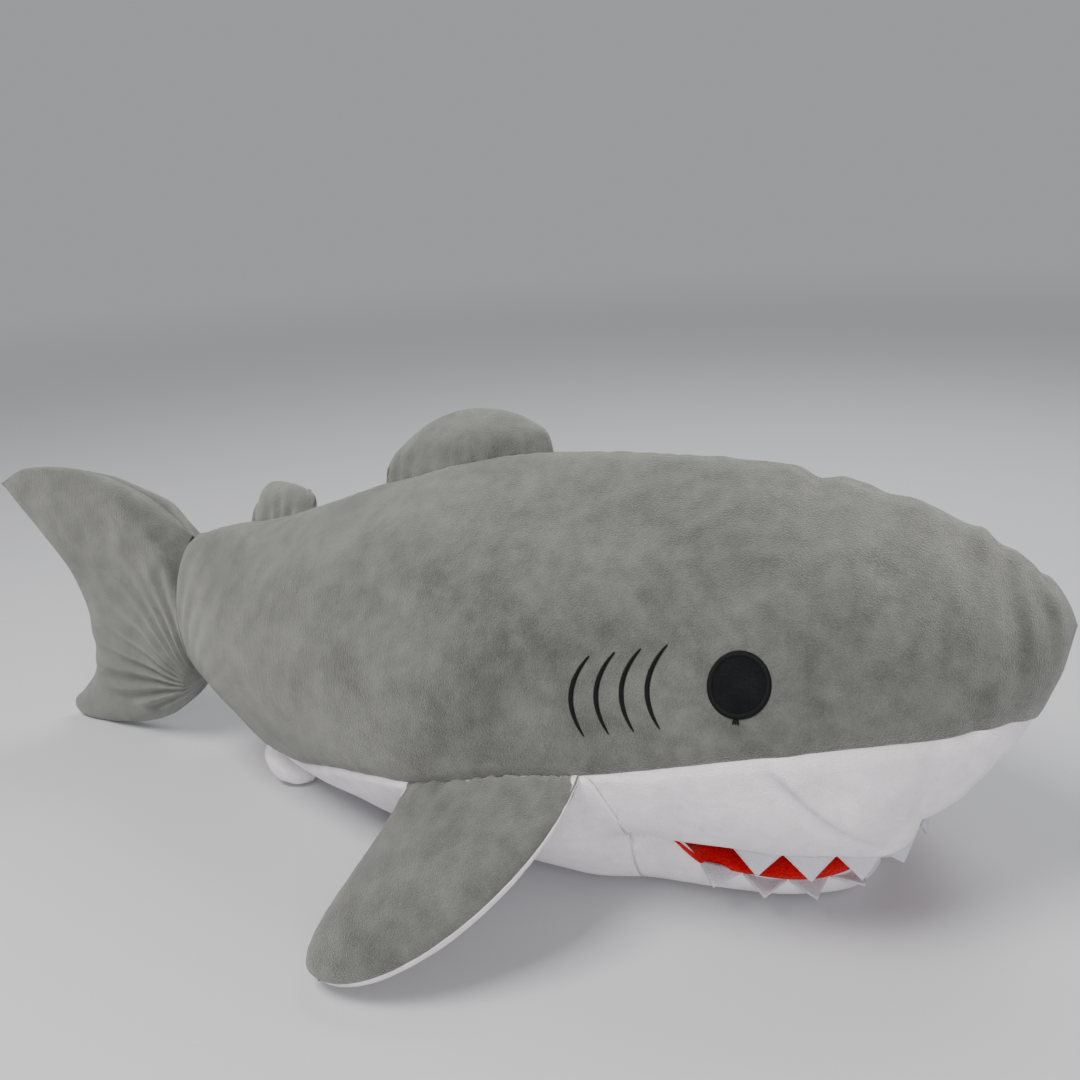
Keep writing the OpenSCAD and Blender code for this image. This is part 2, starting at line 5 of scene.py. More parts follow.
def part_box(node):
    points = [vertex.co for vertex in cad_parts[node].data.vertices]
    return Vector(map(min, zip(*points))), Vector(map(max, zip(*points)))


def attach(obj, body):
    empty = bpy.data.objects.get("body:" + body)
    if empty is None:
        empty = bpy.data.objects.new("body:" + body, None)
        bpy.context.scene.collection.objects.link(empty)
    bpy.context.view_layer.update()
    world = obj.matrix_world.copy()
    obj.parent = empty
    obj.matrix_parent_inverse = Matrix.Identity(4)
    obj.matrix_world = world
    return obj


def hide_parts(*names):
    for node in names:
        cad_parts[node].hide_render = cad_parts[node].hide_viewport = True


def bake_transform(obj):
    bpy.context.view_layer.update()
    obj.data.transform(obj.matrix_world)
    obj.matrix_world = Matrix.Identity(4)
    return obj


print("plush shark: loading the frame")
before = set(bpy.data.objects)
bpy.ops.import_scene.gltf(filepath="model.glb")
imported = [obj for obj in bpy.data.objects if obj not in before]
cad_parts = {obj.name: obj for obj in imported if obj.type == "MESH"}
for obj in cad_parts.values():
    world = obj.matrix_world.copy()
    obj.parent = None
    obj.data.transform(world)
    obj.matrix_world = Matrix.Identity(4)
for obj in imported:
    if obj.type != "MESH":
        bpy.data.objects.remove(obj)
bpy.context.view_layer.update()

# Small helpers

def smooth(u):
    u = min(1.0, max(0.0, u))
    return u * u * (3 - 2 * u)

def ramp(value, start, end):
    return smooth((value - start) / (end - start))

def slopeAt(table, i):
    a, b = table[max(i - 1, 0)], table[min(i + 1, len(table) - 1)]
    return (b[1] - a[1]) / (b[0] - a[0])

def curveAt(table, u):
    u = min(max(u, table[0][0]), table[-1][0])
    i = 0
    while i < len(table) - 2 and u > table[i + 1][0]:
        i += 1
    w = table[i + 1][0] - table[i][0]
    s = (u - table[i][0]) / w
    return (table[i][1] * (1 + 2 * s) * (1 - s) ** 2 + table[i + 1][1] * s * s * (3 - 2 * s)
            + slopeAt(table, i) * w * s * (1 - s) ** 2 - slopeAt(table, i + 1) * w * s * s * (1 - s))

def bezierAt(points, b):
    c = 1 - b
    return [c ** 3 * p + 3 * b * c * c * q + 3 * b * b * c * r + b ** 3 * s for p, q, r, s in zip(*points)]

def mix(a, b, u):
    return a + (b - a) * u

def sheetGrid(name, rows, cols, place):
    bm = bmesh.new()
    bmesh.ops.create_grid(bm, x_segments=rows, y_segments=cols, size=1)
    for v in bm.verts:
        v.co = place((v.co.x + 1) / 2, (v.co.y + 1) / 2)
    return finishMesh(bm, name)

def finishMesh(bm, name, mergeAt=1e-6):
    bmesh.ops.remove_doubles(bm, verts=bm.verts, dist=mergeAt)
    bmesh.ops.dissolve_degenerate(bm, edges=bm.edges, dist=mergeAt)
    mesh = bpy.data.meshes.new(name)
    bm.to_mesh(mesh)
    bm.free()
    for polygon in mesh.polygons:
        polygon.use_smooth = True
    piece = bpy.data.objects.new(name, mesh)
    bpy.context.scene.collection.objects.link(piece)
    return piece

def faceOutward(piece, away):
    total = 0.0
    for polygon in piece.data.polygons:
        total += polygon.area * polygon.normal.dot(away(polygon.center))
    if total < 0:
        piece.data.flip_normals()

def thicken(piece, amount):
    cloth = piece.modifiers.new("cloth", "SOLIDIFY")
    cloth.thickness = amount
    cloth.offset = -1
    cloth.use_even_offset = False

# Camera, floor and lights

view = dict(place=(0.255, -0.638, 0.444), pitch=18.8, turn=23.5, roll=(0.0539, 0.9985), lens=35.67)

def buildCamera():
    turn, pitch = math.radians(view["turn"]), math.radians(view["pitch"])
    across = Vector((math.cos(turn), math.sin(turn), 0))
    ahead = Vector((-math.sin(turn), math.cos(turn), 0))
    down = Vector((0, 0, -1))
    forward = ahead * math.cos(pitch) + down * math.sin(pitch)
    under = down * math.cos(pitch) - ahead * math.sin(pitch)
    rightward = view["roll"][0] * under + view["roll"][1] * across
    downward = view["roll"][1] * under - view["roll"][0] * across
    data = bpy.data.cameras.new("camera")
    data.sensor_fit = "HORIZONTAL"
    data.sensor_width = 36
    data.lens = view["lens"]
    data.clip_start = 0.01
    camera = bpy.data.objects.new("camera", data)
    matrix = Matrix((rightward, -downward, -forward)).transposed().to_4x4()
    matrix.translation = Vector(view["place"])
    camera.matrix_world = matrix
    bpy.context.scene.collection.objects.link(camera)
    bpy.context.scene.camera = camera

studio = dict(
    floorColour=(0.56, 0.565, 0.585),
    skyColour=(0.95, 0.96, 1.0),
    world=0.38,
    lamps=[
        dict(place=(-0.45, -0.75, 1.7), aim=(0, 0, 0.1), size=0.8, power=34, tint=(1.0, 0.98, 0.95)),
        dict(place=(0.9, -1.5, 0.75), aim=(0.1, 0, 0.1), size=1.2, power=15, tint=(1.0, 0.98, 0.99)),
        dict(place=(0.3, 0.9, 1.5), aim=(0, 0, 0.2), size=0.9, power=14, tint=(1.0, 1.0, 1.0)),
    ])

def buildStudio():
    bm = bmesh.new()
    bmesh.ops.create_grid(bm, x_segments=1, y_segments=1, size=60)
    floor = finishMesh(bm, "floor")
    material = bpy.data.materials.new("floorPaper")
    material.use_nodes = True
    shader = material.node_tree.nodes["Principled BSDF"]
    shader.inputs["Base Color"].default_value = (*studio["floorColour"], 1)
    shader.inputs["Roughness"].default_value = 0.85
    tree = material.node_tree
    # the paper fades into the sky's own colour, so that no horizon shows
    distance = tree.nodes.new("ShaderNodeVectorMath")
    distance.operation = "LENGTH"
    tree.links.new(tree.nodes.new("ShaderNodeTexCoord").outputs["Object"], distance.inputs[0])
    fade = tree.nodes.new("ShaderNodeMapRange")
    fade.interpolation_type = "SMOOTHSTEP"
    tree.links.new(distance.outputs["Value"], fade.inputs["Value"])
    fade.inputs["From Min"].default_value = 0.9
    fade.inputs["From Max"].default_value = 4.5
    glow = tree.nodes.new("ShaderNodeEmission")
    glow.inputs["Color"].default_value = (*studio["skyColour"], 1)
    glow.inputs["Strength"].default_value = studio["world"]
    blendNode = tree.nodes.new("ShaderNodeMixShader")
    tree.links.new(fade.outputs["Result"], blendNode.inputs["Fac"])
    tree.links.new(shader.outputs["BSDF"], blendNode.inputs[1])
    tree.links.new(glow.outputs["Emission"], blendNode.inputs[2])
    tree.links.new(blendNode.outputs["Shader"], tree.nodes["Material Output"].inputs["Surface"])
    floor.data.materials.append(material)
    world = bpy.data.worlds.new("softSky")
    world.use_nodes = True
    sky = world.node_tree.nodes["Background"]
    sky.inputs["Color"].default_value = (*studio["skyColour"], 1)
    sky.inputs["Strength"].default_value = studio["world"]
    bpy.context.scene.world = world
    for i, lamp in enumerate(studio["lamps"]):
        data = bpy.data.lights.new(f"lamp{i}", "AREA")
        data.size = lamp["size"]
        data.energy = lamp["power"]
        data.color = lamp["tint"]
        light = bpy.data.objects.new(f"lamp{i}", data)
        light.location = lamp["place"]
        towards = Vector(lamp["aim"]) - Vector(lamp["place"])
        light.rotation_euler = towards.to_track_quat("-Z", "Y").to_euler()
        bpy.context.scene.collection.objects.link(light)

buildCamera()
buildStudio()
print("plush shark: camera and studio ready")

# Materials

def newGroup(name, inputs, outputs):
    group = bpy.data.node_groups.new(name, "ShaderNodeTree")
    for label, kind, value in inputs:
        socket = group.interface.new_socket(name=label, in_out="INPUT", socket_type=kind)
        socket.default_value = value
    for label, kind in outputs:
        group.interface.new_socket(name=label, in_out="OUTPUT", socket_type=kind)
    return group, group.nodes.new("NodeGroupInput"), group.nodes.new("NodeGroupOutput")

def noiseNode(tree, vector, scale, detail, roughness=0.5):
    node = tree.nodes.new("ShaderNodeTexNoise")
    node.inputs["Scale"].default_value = scale
    node.inputs["Detail"].default_value = detail
    node.inputs["Roughness"].default_value = roughness
    tree.links.new(vector, node.inputs["Vector"])
    return node.outputs["Fac"]

def mathNode(tree, operation, a, b):
    node = tree.nodes.new("ShaderNodeMath")
    node.operation = operation
    for socket, value in zip(node.inputs, (a, b)):
        if isinstance(value, (int, float)):
            socket.default_value = value
        else:
            tree.links.new(value, socket)
    return node.outputs[0]

def rangeNode(tree, value, low, high, outLow=0.0, outHigh=1.0):
    node = tree.nodes.new("ShaderNodeMapRange")
    tree.links.new(value, node.inputs["Value"])
    for label, number in (("From Min", low), ("From Max", high), ("To Min", outLow), ("To Max", outHigh)):
        node.inputs[label].default_value = number
    return node.outputs["Result"]

def pileGroup():
    group, gIn, gOut = newGroup(
        "plushPile",
        [("Pile Colour", "NodeSocketColor", (0.5, 0.5, 0.5, 1)), ("Nap Depth", "NodeSocketFloat", 0.3),
         ("Nap Size", "NodeSocketFloat", 22.0), ("Fuzz Size", "NodeSocketFloat", 900.0)],
        [("Colour", "NodeSocketColor"), ("Height", "NodeSocketFloat"), ("Rough", "NodeSocketFloat")])
    where = group.nodes.new("ShaderNodeTexCoord").outputs["Object"]
    big = group.nodes.new("ShaderNodeTexNoise")
    big.inputs["Detail"].default_value = 5
    big.inputs["Roughness"].default_value = 0.62
    big.inputs["Distortion"].default_value = 0.6
    group.links.new(where, big.inputs["Vector"])
    group.links.new(gIn.outputs["Nap Size"], big.inputs["Scale"])
    nap = rangeNode(group, big.outputs["Fac"], 0.36, 0.64)
    middle = noiseNode(group, where, 80.0, 3, 0.55)
    fuzz = group.nodes.new("ShaderNodeTexNoise")
    fuzz.inputs["Detail"].default_value = 3
    group.links.new(where, fuzz.inputs["Vector"])
    group.links.new(gIn.outputs["Fuzz Size"], fuzz.inputs["Scale"])
    grain = rangeNode(group, fuzz.outputs["Fac"], 0.3, 0.7)
    mottled = mathNode(group, "ADD", mathNode(group, "MULTIPLY", nap, 0.42),
                       mathNode(group, "MULTIPLY", rangeNode(group, middle, 0.32, 0.68), 0.30))
    mottled = mathNode(group, "ADD", mottled, mathNode(group, "MULTIPLY", grain, 0.28))
    swing = mathNode(group, "MULTIPLY", mathNode(group, "SUBTRACT", mottled, 0.5), gIn.outputs["Nap Depth"])
    lift = mathNode(group, "ADD", swing, 1.0)
    tint = group.nodes.new("ShaderNodeVectorMath")
    tint.operation = "SCALE"
    group.links.new(gIn.outputs["Pile Colour"], tint.inputs[0])
    group.links.new(lift, tint.inputs["Scale"])
    group.links.new(tint.outputs["Vector"], gOut.inputs["Colour"])
    height = mathNode(group, "ADD", mathNode(group, "MULTIPLY", grain, 0.8),
                      mathNode(group, "MULTIPLY", nap, 0.25))
    group.links.new(height, gOut.inputs["Height"])
    group.links.new(rangeNode(group, nap, 0, 1, 0.95, 0.8), gOut.inputs["Rough"])
    return group

pile = pileGroup()

def clothMaterial(name, colour, depth, napSize, fuzzSize, bump, sheen, sheenTint, sheenRough=0.45):
    material = bpy.data.materials.new(name)
    material.use_nodes = True
    tree = material.node_tree
    shader = tree.nodes["Principled BSDF"]
    shader.inputs["Sheen Weight"].default_value = sheen
    shader.inputs["Sheen Roughness"].default_value = sheenRough
    shader.inputs["Sheen Tint"].default_value = (*sheenTint, 1)
    shader.inputs["Specular IOR Level"].default_value = 0.15
    node = tree.nodes.new("ShaderNodeGroup")
    node.node_tree = pile
    node.inputs["Pile Colour"].default_value = (*colour, 1)
    node.inputs["Nap Depth"].default_value = depth
    node.inputs["Nap Size"].default_value = napSize
    node.inputs["Fuzz Size"].default_value = fuzzSize
    tree.links.new(node.outputs["Colour"], shader.inputs["Base Color"])
    tree.links.new(node.outputs["Rough"], shader.inputs["Roughness"])
    bumpNode = tree.nodes.new("ShaderNodeBump")
    bumpNode.inputs["Strength"].default_value = 1
    bumpNode.inputs["Distance"].default_value = bump
    tree.links.new(node.outputs["Height"], bumpNode.inputs["Height"])
    tree.links.new(bumpNode.outputs["Normal"], shader.inputs["Normal"])
    return material

greyPlush = clothMaterial("greyPlush", (0.108, 0.112, 0.101), 1.15, 15, 1100, 0.0007, 0.6,
                          (0.80, 0.80, 0.76), 0.5)
whitePlush = clothMaterial("whitePlush", (0.90, 0.86, 0.885), 0.32, 26, 1100, 0.0007, 0.25, (1, 1, 1))
redLining = clothMaterial("redLining", (0.62, 0.006, 0.010), 0.7, 45, 700, 0.0012, 0.25, (1, 0.4, 0.4))
# the felt's grey-blue tone is partly its own colour and partly painted shade: it is kept darker and bluer than
# the white plush so that the teeth stand out against it
whiteFelt = clothMaterial("whiteFelt", (0.70, 0.70, 0.77), 0.16, 90, 1000, 0.0008, 0.1, (1, 1, 1))
eyeCloth = clothMaterial("eyeCloth", (0.0055, 0.006, 0.007), 0.6, 60, 900, 0.0006, 0.04, (0.6, 0.6, 0.6))

def threadMaterial(name, colour):
    material = bpy.data.materials.new(name)
    material.use_nodes = True
    tree = material.node_tree
    shader = tree.nodes["Principled BSDF"]
    where = tree.nodes.new("ShaderNodeTexCoord").outputs["Object"]
    fibre = noiseNode(tree, where, 2200, 2)
    shader.inputs["Specular IOR Level"].default_value = 0.15
    blendNode = tree.nodes.new("ShaderNodeMix")
    blendNode.data_type = "RGBA"
    blendNode.inputs["A"].default_value = (*[c * 0.6 for c in colour], 1)
    blendNode.inputs["B"].default_value = (*[c * 1.7 for c in colour], 1)
    tree.links.new(fibre, blendNode.inputs["Factor"])
    tree.links.new(blendNode.outputs["Result"], shader.inputs["Base Color"])
    tree.links.new(rangeNode(tree, fibre, 0, 1, 0.35, 0.55), shader.inputs["Roughness"])
    bumpNode = tree.nodes.new("ShaderNodeBump")
    bumpNode.inputs["Distance"].default_value = 0.0003
    tree.links.new(fibre, bumpNode.inputs["Height"])
    tree.links.new(bumpNode.outputs["Normal"], shader.inputs["Normal"])
    return material

blackThread = threadMaterial("blackThread", (0.0045, 0.0045, 0.005))

def dress(piece, material):
    piece.data.materials.clear()
    piece.data.materials.append(material)

# Body shape

backLow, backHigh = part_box("back_panel_right")
jawTopLow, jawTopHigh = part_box("upper_jaw_panel")
roofLow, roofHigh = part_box("palate_lining")
tailX, noseX = backLow.x, backHigh.x
bodyLength, bodyHeight, bodyHalf = noseX - tailX, backHigh.z, -backLow.y
mouthX, lipX, lipZ, roofHalf = jawTopLow.x, roofHigh.x, jawTopLow.z, roofHigh.y
whiteEnd = jawTopHigh.x

# Stations run from the tail seam (0) to the nose tip (1)
body = dict(
    crest=[[0, 0.686], [0.077, 0.731], [0.184, 0.804], [0.286, 0.886], [0.41, 0.967], [0.51, 0.996],
           [0.61, 1], [0.739, 0.996], [0.8, 0.968], [0.85, 0.932], [0.9, 0.887], [0.94, 0.838], [0.97, 0.788],
           [0.99, 0.735], [1, 0.675]],
    widest=[[0, 0.469], [0.077, 0.435], [0.184, 0.4], [0.286, 0.387], [0.41, 0.387], [0.51, 0.4],
            [0.61, 0.417], [0.739, 0.48], [0.824, 0.51], [0.9, 0.525], [0.96, 0.555], [1, 0.675]],
    bottom=[[0, 0.251], [0.077, 0.166], [0.184, 0.035], [0.25, 0.004], [0.3, 0], [0.45, 0], [0.62, 0]],
    width=[[0, 0.26], [0.077, 0.473], [0.184, 0.7], [0.286, 0.855], [0.41, 0.962], [0.51, 0.992], [0.61, 1],
           [0.739, 0.962], [0.824, 0.855], [0.876, 0.718], [0.929, 0.534], [0.967, 0.336], [0.989, 0.183],
           [1, 0]],
    rest=[[0, 0], [0.077, 0.12], [0.184, 0.14], [0.286, 0.32], [0.41, 0.7], [0.51, 1], [0.62, 0.96]],
    restHalf=0.052,
    roof=[[0, 1], [0.3, 1], [0.57, 0.975], [0.74, 0.88], [0.89, 0.755], [0.955, 0.57], [0.985, 0.36], [1, 0]],
    snout=[[0, 0], [0.17, 0.06], [0.44, 0.27], [0.64, 0.44], [0.8, 0.6], [0.91, 0.75], [1, 1]],
    # how far round, in degrees below the widest line, grey meets white
    seam=[[0, 85], [0.077, 67], [0.184, 44], [0.286, 23], [0.41, 13], [0.51, 5], [0.61, 0], [0.75, -2],
          [0.85, -2], [0.9, 0]],
    ridge=0.82,
    cornerX=0.094, cheekStartX=0.036, cheekSeamX=0.051)

def share(x):
    return (x - tailX) / bodyLength

def halfWidth(x):
    return bodyHalf * curveAt(body["width"], share(x))

def crestZ(x):
    return bodyHeight * curveAt(body["crest"], share(x))

def widestZ(x):
    return bodyHeight * curveAt(body["widest"], share(x))

def seamAngle(x):
    turnX = tailX + 0.9 * bodyLength
    if x < turnX:
        return curveAt(body["seam"], share(x))
    return 90 * min(1, (x - turnX) / (whiteEnd - turnX)) ** 6

def noseZ():
    return bodyHeight * body["crest"][-1][1]

def headBottomZ(x):
    return lipZ + (noseZ() - lipZ) * curveAt(body["snout"], max(0, (x - lipX) / (noseX - lipX)))

def roofHalfAt(x):
    return max(0, roofHalf * curveAt(body["roof"], (x - mouthX) / (lipX - mouthX)))

def sectionAt(x, angle, low, flat):
    w, zm = halfWidth(x), widestZ(x)
    a = math.radians(angle)
    if angle <= 0:
        top = math.radians(90 * body["ridge"])
        return w * math.cos(a), zm + (crestZ(x) - zm) * math.sin(-a * body["ridge"]) / math.sin(top)
    flat = min(flat, w)
    if angle <= 90:
        return flat + (w - flat) * math.cos(a), zm - (zm - low) * math.sin(a)
    return flat * (120 - angle) / 30, low

def rearSection(x, angle):
    low = max(0, bodyHeight * curveAt(body["bottom"], share(x)))
    return sectionAt(x, angle, low, body["restHalf"] * curveAt(body["rest"], share(x)))

def headSection(x, angle):
    return sectionAt(x, angle, headBottomZ(x), roofHalfAt(x))

def headShare(x):
    return ramp(x, body["cheekStartX"], body["cornerX"])

def lipAngle(x):
    zm = widestZ(x)
    low = math.degrees(math.asin(min(1, (zm - lipZ) / max(zm, 1e-6))))
    return mix(90, low, ramp(x, -0.26, -0.02))

jaw = dict(backX=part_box("lower_jaw_panel")[0].x, frontX=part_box("lower_jaw_panel")[1].x,
           half=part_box("lower_jaw_panel")[1].y, lipZ=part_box("lower_jaw_panel")[1].z,
           topZ=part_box("lower_mouth_lining")[1].z, frontZ=0.023,
           line=[[0, 0.93], [0.2, 1], [0.45, 0.96], [0.7, 0.82], [0.88, 0.6], [0.97, 0.3], [1, 0]])

def jawRim(x):
    u = (x - jaw["backX"]) / (jaw["frontX"] - jaw["backX"])
    open_ = ramp(x, body["cornerX"] - 0.004, body["cornerX"] + 0.024)
    y = mix(roofHalfAt(x), jaw["half"] * curveAt(jaw["line"], u), open_)
    z = mix(jaw["lipZ"] + 0.001, jaw["frontZ"], ramp(x, body["cornerX"] + 0.02, jaw["frontX"] - 0.03))
    return y, mix(lipZ, z, open_)

def jawSection(x, s):
    y, z = jawRim(x)
    flat = y * 0.55
    if s < 0.6:
        a = math.radians(90 * s / 0.6)
        return flat + (y - flat) * math.cos(a), z * (1 - math.sin(a))
    return flat * (1 - (s - 0.6) / 0.4), 0.0

def whitePoint(x, b):
    if b <= 0:
        return rearSection(x, b * 90) if x < mouthX else headSection(x, b * 90)
    lip = lipAngle(x)
    if b <= 1:
        rear = rearSection(x, b * lip)
        front = headSection(x, b * 90)
    else:
        s = b - 1
        turn = lip + s / 0.6 * (90 - lip) if s < 0.6 else 90 + 30 * (s - 0.6) / 0.4
        rear = rearSection(x, turn)
        front = jawSection(max(x, jaw["backX"]), s)
    u = headShare(x) if x < lipX else 1
    return tuple(mix(p, q, u) for p, q in zip(rear, front))

def greyPoint(x, angle):
    return rearSection(x, angle) if x < mouthX else headSection(x, angle)

def seamStart(x):
    angle = seamAngle(x)
    if angle <= 0:
        return angle / 90
    return angle / mix(lipAngle(x), 90, headShare(x))

plump = dict(
    fan=0.0016, fanZ=0.062, fanPitch=0.21,
    lump=0.0036, lumpSize=9.0, pucker=0.00055, puckerPitch=0.021, groove=0.0022, grooveWidth=0.0055,
    # dips across the crest: [x, half width, depth, how far down the side each reaches]
    dips=[(0.163, 0.009, 0.0052, 0.05), (0.203, 0.009, 0.0024, 0.045), (0.245, 0.012, 0.0026, 0.04),
          (0.272, 0.006, 0.0026, 0.04), (0.291, 0.004, 0.0022, 0.035)],
    # the slack fold on each white cheek: [x, z] at its two ends
    foldStart=(0.156, 0.134), foldEnd=(0.222, 0.068), foldDepth=0.0046)

def foldLift(x, z):
    (x0, z0), (x1, z1) = plump["foldStart"], plump["foldEnd"]
    length = math.hypot(x1 - x0, z1 - z0)
    along = ((x - x0) * (x1 - x0) + (z - z0) * (z1 - z0)) / length ** 2
    off = ((x - x0) * (z0 - z1) + (z - z0) * (x1 - x0)) / length
    off += 0.004 * math.sin(math.pi * along)
    shape = math.exp(-((off - 0.007) / 0.010) ** 2) - 1.1 * math.exp(-((off + 0.003) / 0.005) ** 2)
    return plump["foldDepth"] * shape * smooth((along + 0.1) / 0.35) * smooth((1.0 - along) / 0.35)

# wrinkles fan out from the low end of the tail seam
def rootFolds(away, z):
    up = z - plump["fanZ"]
    reach = math.hypot(away, up)
    angle = math.atan2(abs(away), max(up, -0.03))
    wave = math.sin(2 * math.pi * angle / plump["fanPitch"] + 2 * noise.noise(Vector((away, 0.3, z)) * 14))
    fade = math.exp(-(angle / 0.75) ** 2) if away > 0 else 1
    return plump["fan"] * wave * smooth(reach / 0.035) * (1 - ramp(reach, 0.07, 0.15)) * fade

def puffed(x, y, z, seamGap, side, groove=1.0):
    axisZ = widestZ(x)
    radial = Vector((0, y, z - axisZ))
    reach = max(radial.length, 1e-5)
    spot = Vector((x, y * side, z))
    grow = plump["lump"] * noise.noise(spot * plump["lumpSize"] + Vector((3.1, 7.7, 1.3)))
    grow += 0.35 * plump["lump"] * noise.noise(spot * 26)
    pinch = math.exp(-(seamGap / plump["grooveWidth"]) ** 2)
    ripple = math.sin(2 * math.pi * (x / plump["puckerPitch"] + 1.5 * noise.noise(spot * 30)))
    grow += plump["pucker"] * ripple * math.exp(-seamGap / 0.014) * (1 - 0.6 * pinch)
    grow -= groove * plump["groove"] * pinch
    nose = ramp(x, 0.215, 0.27) * (1 - ramp(x, 0.302, noseX))
    gather = math.sin(2 * math.pi * (x / 0.019 + 1.3 * noise.noise(spot * 11) + 0.3 * z / 0.03))
    grow += 0.0015 * nose * gather * min(1, 2.6 * abs(noise.noise(spot * 16 + Vector((5, 1, 9)))))
    grow *= smooth(reach / 0.03)
    for place, half, depth, far in plump["dips"]:
        fade = math.exp(-(max(0, crestZ(x) - z) / far) ** 2)
        grow -= depth * fade * math.exp(-((x - place + 0.25 * (crestZ(x) - z) * side) / half) ** 2)
    grow += foldLift(x, z)
    grow += rootFolds(x - tailX, z) - 0.003 * math.exp(-((x - tailX) / 0.006) ** 2)
    scale = 1 + grow / reach
    return Vector((x, side * y * scale, max(0, axisZ + (z - axisZ) * scale)))

sides = {"right": -1, "left": 1}

def buildBack(sideName):
    side = sides[sideName]
    def place(u, v):
        # rows crowd towards the nose, where the skin turns quickly
        x = tailX + bodyLength * (1 - (1 - u) ** 1.35)
        angle = mix(-90, seamAngle(x), v)
        y, z = greyPoint(x, angle)
        around = math.radians(abs(seamAngle(x) + 90)) * max(halfWidth(x), 0.004)
        crestGap, sideGap = v * around, (1 - v) * around
        if crestGap < sideGap:
            return puffed(x, y, z, crestGap, side, 0.7)
        return puffed(x, y, z, sideGap, side)
    piece = sheetGrid(f"backPanel_{sideName}", 260, 110, place)
    faceOutward(piece, lambda c: Vector((0, c.y, c.z - widestZ(c.x))))
    thicken(piece, 0.0022)
    dress(piece, greyPlush)
    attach(piece, "trunk")
    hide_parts(f"back_panel_{sideName}")
    return piece

# The cheek seam runs down and forward from the side seam to the mouth's corner
def cheekSplit(x):
    return ramp(x, body["cheekSeamX"] - 0.02, body["cornerX"] + 0.002)

def whiteGap(x, b, low, high):
    around = math.radians(90) * max(halfWidth(x), 0.01) * 0.9
    return min(abs(b - low), abs(high - b)) * around

def buildBelly():
    startX, endX = tailX, jaw["backX"] + 0.004
    def place(u, v):
        x = mix(startX, endX, u)
        side = -1 if v < 0.5 else 1
        w = abs(1 - 2 * v)
        low = max(seamStart(x), mix(seamStart(x), 1, ramp(x, body["cheekSeamX"], body["cornerX"])))
        b = mix(2, low, w)
        y, z = whitePoint(x, b)
        return puffed(x, y, z, whiteGap(x, b, low, 9), side)
    piece = sheetGrid("bellyPanel", 150, 160, place)
    faceOutward(piece, lambda c: Vector((0, c.y, c.z - widestZ(c.x))))
    thicken(piece, 0.0022)
    dress(piece, whitePlush)
    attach(piece, "trunk")
    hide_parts("belly_panel", "body_filling")

def buildLowerJaw():
    startX, endX = jaw["backX"] + 0.004, jaw["frontX"]
    def place(u, v):
        x = mix(startX, endX, 1 - (1 - u) ** 1.5)
        side = -1 if v < 0.5 else 1
        w = abs(1 - 2 * v)
        low = mix(seamStart(x), 1, ramp(x, body["cheekSeamX"], body["cornerX"]))
        b = mix(2, low, w)
        if x > body["cornerX"]:
            b = max(b, 1.0001)
        y, z = whitePoint(x, b)
        return puffed(x, y, z, whiteGap(x, b, low, 9), side)
    piece = sheetGrid("lowerJawPanel", 70, 130, place)
    faceOutward(piece, lambda c: Vector((0, c.y, c.z - widestZ(c.x))))
    thicken(piece, 0.0022)
    dress(piece, whitePlush)
    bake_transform(piece)
    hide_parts("lower_jaw_panel", "lower_jaw_filling")

def buildUpperJaw(sideName):
    side = sides[sideName]
    startX, endX = body["cheekSeamX"], whiteEnd
    def place(u, v):
        x = mix(startX, endX, 1 - (1 - u) ** 1.2)
        low, high = seamStart(x), mix(seamStart(x), 1, ramp(x, body["cheekSeamX"], body["cornerX"]))
        b = mix(low, high, v)
        y, z = whitePoint(x, b)
        point = puffed(x, y, z, whiteGap(x, b, low, high), side)
        if x > body["cornerX"]:
            curl = smooth((b - 0.8) / 0.2)
            point.z += 0.002 * curl
        return point
    piece = sheetGrid(f"upperJawPanel_{sideName}", 150, 60, place)
    faceOutward(piece, lambda c: Vector((0, c.y, c.z - widestZ(c.x))))
    thicken(piece, 0.0022)
    dress(piece, whitePlush)
    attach(piece, "trunk")
    if sideName == "right":
        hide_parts("upper_jaw_panel")

for sideName in sides:
    buildBack(sideName)
    buildUpperJaw(sideName)
buildBelly()
buildLowerJaw()
print("plush shark: body skins built")

# Mouth lining

def buildRoof():
    startX = mouthX + 0.004
    def place(u, v):
        x = mix(startX, lipX - 0.001, 1 - (1 - u) ** 1.6)
        a = 2 * v - 1
        y = a * roofHalfAt(x) * 0.99
        vault = ramp(x, startX - 0.01, startX + 0.05) * (1 - ramp(x, lipX - 0.05, lipX))
        rise = 0.0015 + 0.010 * (1 - a * a) * vault
        rise += 0.002 * noise.noise(Vector((x, y, 0)) * 40)
        return Vector((x, y, lipZ + rise))
    piece = sheetGrid("mouthRoof", 60, 60, place)
    faceOutward(piece, lambda c: Vector((0, 0, -1)))
    thicken(piece, 0.0015)
    dress(piece, redLining)
    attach(piece, "trunk")
    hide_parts("palate_lining")

def buildTongueLining():
    startX = mouthX + 0.006
    def place(u, v):
        x = mix(startX, jaw["frontX"] - 0.001, 1 - (1 - u) ** 1.5)
        a = 2 * v - 1
        rimY, rimZ = jawRim(x)
        y = a * (rimY + 0.0012)
        crown = (1 - abs(a) ** 5)
        top = mix(lipZ - 0.001, jaw["topZ"], ramp(x, startX, body["cornerX"] + 0.012))
        z = mix(rimZ + 0.001, top, crown ** 0.7 * (1 - ramp(x, jaw["frontX"] - 0.02, jaw["frontX"])))
        z += 0.0018 * noise.noise(Vector((x, y, 0)) * 45) * crown
        return Vector((x, y, z))
    piece = sheetGrid("mouthFloor", 80, 80, place)
    faceOutward(piece, lambda c: Vector((0, 0, 1)))
    thicken(piece, 0.0015)
    dress(piece, redLining)
    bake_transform(piece)
    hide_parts("lower_mouth_lining")

buildRoof()
buildTongueLining()
print("plush shark: mouth lining built")

# Felt teeth

